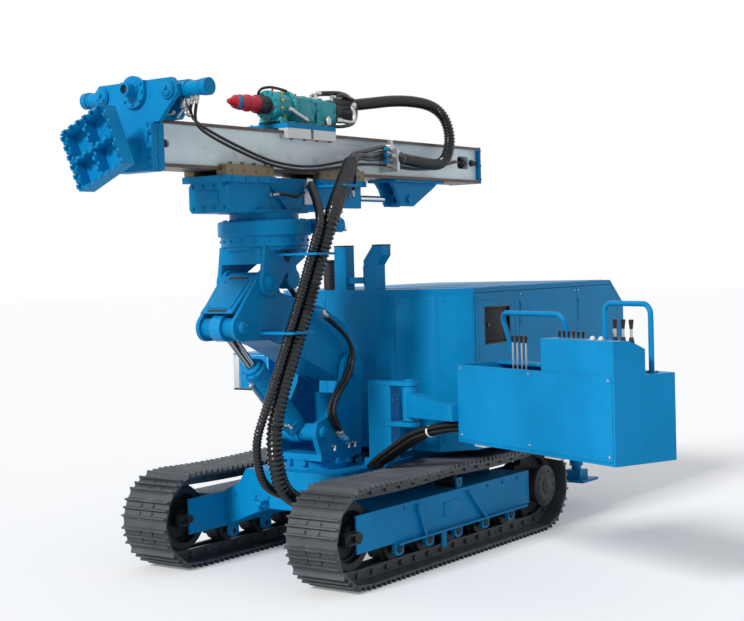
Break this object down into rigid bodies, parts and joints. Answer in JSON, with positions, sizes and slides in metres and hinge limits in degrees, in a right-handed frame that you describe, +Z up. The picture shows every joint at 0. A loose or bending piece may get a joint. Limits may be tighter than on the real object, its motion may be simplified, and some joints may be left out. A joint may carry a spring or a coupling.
{
  "type": "crawler drilling rig",
  "caption": "Crawler drilling rig with a slewing boom, a sliding mast with rotary head, clamp and claw, a power pack housing and a swing-out control console.",
  "frame": {"origin": "on the ground, at the middle of the machine's box in plan", "axes": "+X forward towards the clamp end of the mast, +Y to the machine's left where the console stands, +Z up"},
  "size_m": [4.43, 3.4892, 2.8581],
  "materials": {
    "blue_paint": "satin",
    "track_steel": "worn dark",
    "dark_metal": "dull dark",
    "mast_grey": "satin",
    "teal_paint": "satin",
    "red_paint": "satin",
    "bronze": "dull",
    "bright_steel": "polished",
    "pale_metal": "dull",
    "black_plastic": "matte",
    "hose_rubber": "ribbed, dull"
  },
  "bodies": {
    "chassis": {"track_left": "track_steel", "track_right": "track_steel", "track_frame_left": "blue_paint", "track_frame_right": "blue_paint", "track_wheels": "dark_metal", "track_drives": "dark_metal", "chassis": "blue_paint", "slew_bearing": "blue_paint", "housing_frame": "blue_paint", "housing_walls": "blue_paint", "housing_roof": "blue_paint", "mast_rest": "blue_paint", "side_box": "blue_paint", "breather": "dark_metal", "engine_block": "dark_metal", "console_post": "blue_paint"},
    "turret": {"turret": "blue_paint", "hoses_turret_chassis": "hose_rubber"},
    "boom": {"boom": "blue_paint", "hoses_boom_turret": "hose_rubber"},
    "lift_barrel": {"lift_barrel": "blue_paint"},
    "lift_rod": {"lift_rod": "bright_steel"},
    "tilt_barrel": {"tilt_barrel": "blue_paint"},
    "tilt_rod": {"tilt_rod": "bright_steel"},
    "head": {"head_bracket": "blue_paint", "slew_drive": "blue_paint", "hoses_head_boom": "hose_rubber"},
    "cradle": {"slew_table": "blue_paint", "cradle": "blue_paint", "guide_shoes": "bronze", "slide_barrel": "blue_paint", "hoses_cradle_head": "hose_rubber"},
    "mast": {"mast_beam": "mast_grey", "slide_rod": "bright_steel", "slide_mount": "blue_paint", "feed_chain": "dark_metal", "clamp_body": "blue_paint", "bulkhead": "bright_steel", "hoses_slide": "hose_rubber", "hoses_clamp": "hose_rubber"},
    "carriage": {"carriage": "blue_paint", "carriage_shoes": "pale_metal", "drill_head": "teal_paint", "head_motor": "dark_metal", "hose_feed": "hose_rubber"},
    "shank": {"shank": "red_paint"},
    "jaw_left": {"clamp_jaw_left": "blue_paint"},
    "jaw_right": {"clamp_jaw_right": "blue_paint"},
    "claw": {"claw": "blue_paint"},
    "console": {"console_arm": "blue_paint", "console_case": "blue_paint", "console_levers": "black_plastic", "guard_rails": "blue_paint", "hoses_console": "hose_rubber"},
    "door_left_1": {"door_left_1": "blue_paint"},
    "door_left_2": {"door_left_2": "blue_paint"},
    "door_right_1": {"door_right_1": "blue_paint"},
    "door_right_2": {"door_right_2": "blue_paint"},
    "jack_left": {"jack_leg_left": "blue_paint"},
    "jack_right": {"jack_leg_right": "blue_paint"}
  },
  "joints": [
    {"name": "base_slew", "type": "hinge", "parent": "chassis", "child": "turret", "pos_m": [0.445, -0.6846, 0.62], "axis": [0, 0, -1], "range_deg": [-25, 25], "deforming": ["hoses_turret_chassis"]},
    {"name": "boom_lift", "type": "hinge", "parent": "turret", "child": "boom", "pos_m": [0.305, -0.6846, 1.145], "axis": [0, -1, 0], "range_deg": [-16, 20], "deforming": ["hoses_boom_turret"]},
    {"name": "lift_barrel_turn", "type": "hinge", "parent": "turret", "child": "lift_barrel", "pos_m": [0.62, -0.6846, 0.79], "axis": [0, -1, 0], "range_deg": [-15.64, 19.43]},
    {"name": "lift_rod_slide", "type": "slide", "parent": "lift_barrel", "child": "lift_rod", "axis": [0.6988, 0, 0.7153], "range_m": [-0.134, 0.167]},
    {"name": "head_tilt", "type": "hinge", "parent": "boom", "child": "head", "pos_m": [1.035, -0.6846, 1.685], "axis": [0, 1, 0], "range_deg": [-12, 28], "deforming": ["hoses_head_boom"]},
    {"name": "tilt_barrel_turn", "type": "hinge", "parent": "boom", "child": "tilt_barrel", "pos_m": [0.365, -0.6846, 1.33], "axis": [0, 1, 0], "range_deg": [-8.52, 3.94]},
    {"name": "tilt_rod_slide", "type": "slide", "parent": "tilt_barrel", "child": "tilt_rod", "axis": [0.6656, 0, 0.7463], "range_m": [-0.0606, 0.1386]},
    {"name": "mast_slew", "type": "hinge", "parent": "head", "child": "cradle", "pos_m": [0.875, -0.6846, 2.038], "axis": [0, 0, 1], "range_deg": [-90, 90], "deforming": ["hoses_cradle_head"]},
    {"name": "mast_slide", "type": "slide", "parent": "cradle", "child": "mast", "axis": [1, 0, 0], "range_m": [-0.3, 0.22], "deforming": ["hoses_slide"]},
    {"name": "carriage_feed", "type": "slide", "parent": "mast", "child": "carriage", "axis": [1, 0, 0], "range_m": [-1.3, 0.5], "deforming": ["hose_feed"]},
    {"name": "shank_spin", "type": "hinge", "parent": "carriage", "child": "shank", "pos_m": [0.925, -0.6846, 2.71], "axis": [1, 0, 0], "continuous": true},
    {"name": "jaw_left_slide", "type": "slide", "parent": "mast", "child": "jaw_left", "axis": [0, -1, 0], "range_m": [0, 0.028]},
    {"name": "jaw_right_slide", "type": "slide", "parent": "mast", "child": "jaw_right", "axis": [0, 1, 0], "range_m": [0, 0.028]},
    {"name": "claw_swivel", "type": "hinge", "parent": "mast", "child": "claw", "pos_m": [2.11, -0.6846, 2.395], "axis": [1, 0, 0], "range_deg": [-45, 45]},
    {"name": "console_swing", "type": "hinge", "parent": "chassis", "child": "console", "pos_m": [0.285, -0.0996, 0.84], "axis": [0, 0, -1], "range_deg": [-45, 57], "deforming": ["hoses_console"]},
    {"name": "door_left_1_open", "type": "hinge", "parent": "chassis", "child": "door_left_1", "pos_m": [-0.7375, 0.0554, 0.76], "axis": [0, 0, -1], "range_deg": [0, 95]},
    {"name": "door_left_2_open", "type": "hinge", "parent": "chassis", "child": "door_left_2", "pos_m": [-1.5215, 0.0554, 0.76], "axis": [0, 0, -1], "range_deg": [0, 95]},
    {"name": "jack_left_slide", "type": "slide", "parent": "chassis", "child": "jack_left", "axis": [0, 0, 1], "range_m": [-0.17, 0]},
    {"name": "door_right_1_open", "type": "hinge", "parent": "chassis", "child": "door_right_1", "pos_m": [-0.7375, -1.4246, 0.76], "axis": [0, 0, 1], "range_deg": [0, 95]},
    {"name": "door_right_2_open", "type": "hinge", "parent": "chassis", "child": "door_right_2", "pos_m": [-1.5215, -1.4246, 0.76], "axis": [0, 0, 1], "range_deg": [0, 95]},
    {"name": "jack_right_slide", "type": "slide", "parent": "chassis", "child": "jack_right", "axis": [0, 0, 1], "range_m": [-0.17, 0]}
  ],
  "couplings": [
    {"joint": "lift_barrel_turn", "follows": "boom_lift", "ratio": 0.94643},
    {"joint": "lift_rod_slide", "follows": "boom_lift", "m_per_rad": 0.47274},
    {"joint": "tilt_barrel_turn", "follows": "head_tilt", "ratio": -0.28652},
    {"joint": "tilt_rod_slide", "follows": "head_tilt", "m_per_rad": 0.27956},
    {"joint": "jaw_right_slide", "follows": "jaw_left_slide", "ratio": 1}
  ]
}
